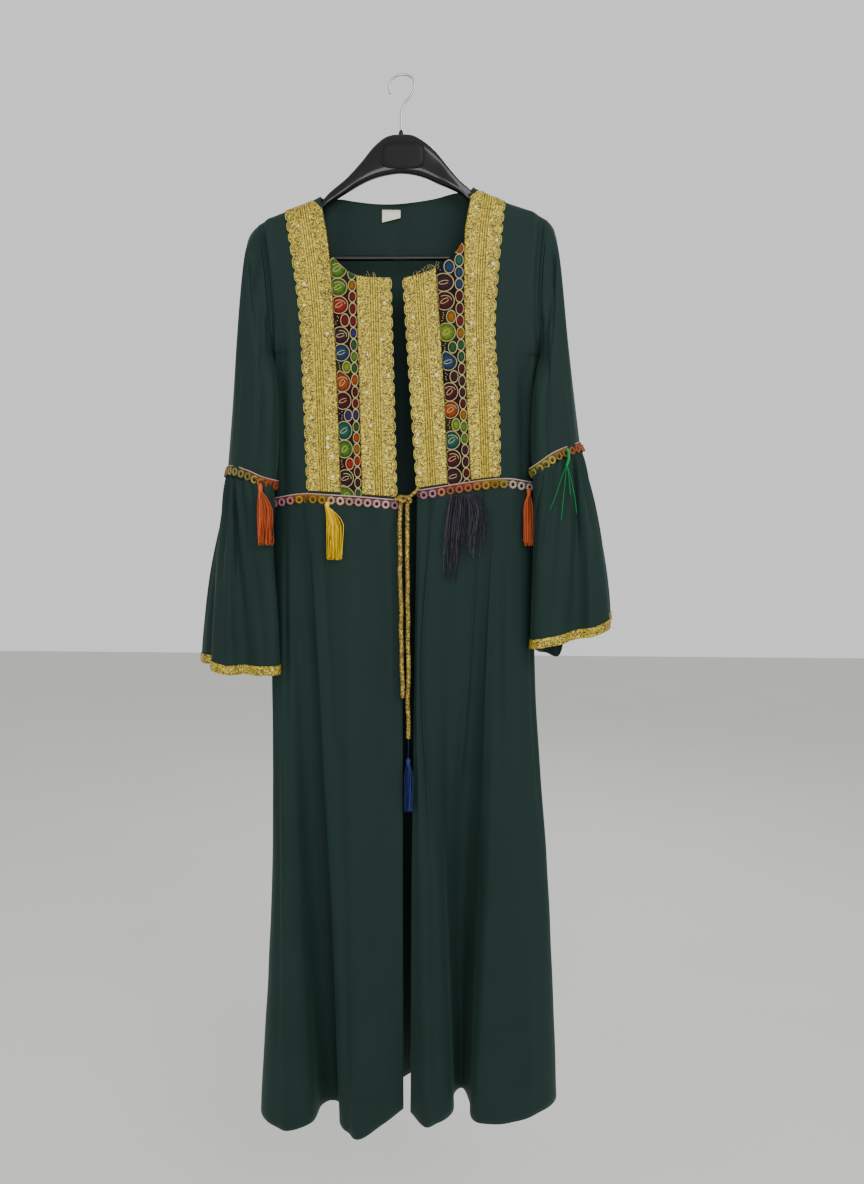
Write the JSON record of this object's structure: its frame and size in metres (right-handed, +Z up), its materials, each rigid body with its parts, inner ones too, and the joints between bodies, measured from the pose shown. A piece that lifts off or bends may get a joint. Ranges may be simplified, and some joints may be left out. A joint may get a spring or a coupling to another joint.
{
  "type": "abaya on a clothes hanger",
  "caption": "Long dark green open-front abaya with gold braid, embroidered strips, flared sleeves, looped trims, tassels and a cord tie, hanging on a black clothes hanger.",
  "frame": {"origin": "inner top of the hanger's hook, where it rests on what it hangs from", "axes": "+X to the right of someone who faces the garment's front, +Y from its front to its back, +Z up along the garment"},
  "size_m": [0.6336, 0.162, 1.5816],
  "materials": {
    "cloth": "very dark bottle green crepe, matt",
    "gold_braid": "woven gold metallic braid with small silver sequins",
    "insert": "dark maroon cloth with many-coloured oval embroidery outlined in cream",
    "trim": "looped trim, colours changing from maroon to orange, gold and white",
    "gold_cord": "twisted gold cord",
    "yellow": "silky thread",
    "charcoal": "fine loose thread",
    "orange": "silky thread",
    "blue": "silky thread",
    "green": "worn silky thread",
    "label": "plain white woven tape, blank",
    "hanger": "glossy black, the plaque satin",
    "steel": "bright steel wire"
  },
  "bodies": {
    "root": {"back_bodice": "cloth", "front_bodice_left": "cloth", "front_bodice_right": "cloth", "front_skirt_left": "cloth", "front_skirt_right": "cloth", "back_skirt": "cloth", "upper_sleeve_left": "cloth", "upper_sleeve_right": "cloth", "sleeve_flare_left": "cloth", "sleeve_flare_right": "cloth", "cuff_braid_left": "gold_braid", "cuff_braid_right": "gold_braid", "outer_band_left": "gold_braid", "outer_band_right": "gold_braid", "inner_band_left": "gold_braid", "inner_band_right": "gold_braid", "insert_left": "insert", "insert_right": "insert", "elbow_trim_left": "trim", "elbow_trim_right": "trim", "waist_trim_left": "trim", "waist_trim_right": "trim", "tie_knot": "gold_cord", "tie_cord_left": "gold_cord", "tie_cord_right": "gold_cord", "tassel_yellow": "yellow", "tassel_charcoal": "charcoal", "tassel_orange_sleeve": "orange", "tassel_orange_waist": "orange", "tassel_blue": "blue", "tassel_green": "green", "neck_label": "label", "hanger_body": "hanger", "hanger_bar": "hanger", "hanger_plaque": "hanger", "hanger_hook": "steel"}
  },
  "joints": []
}
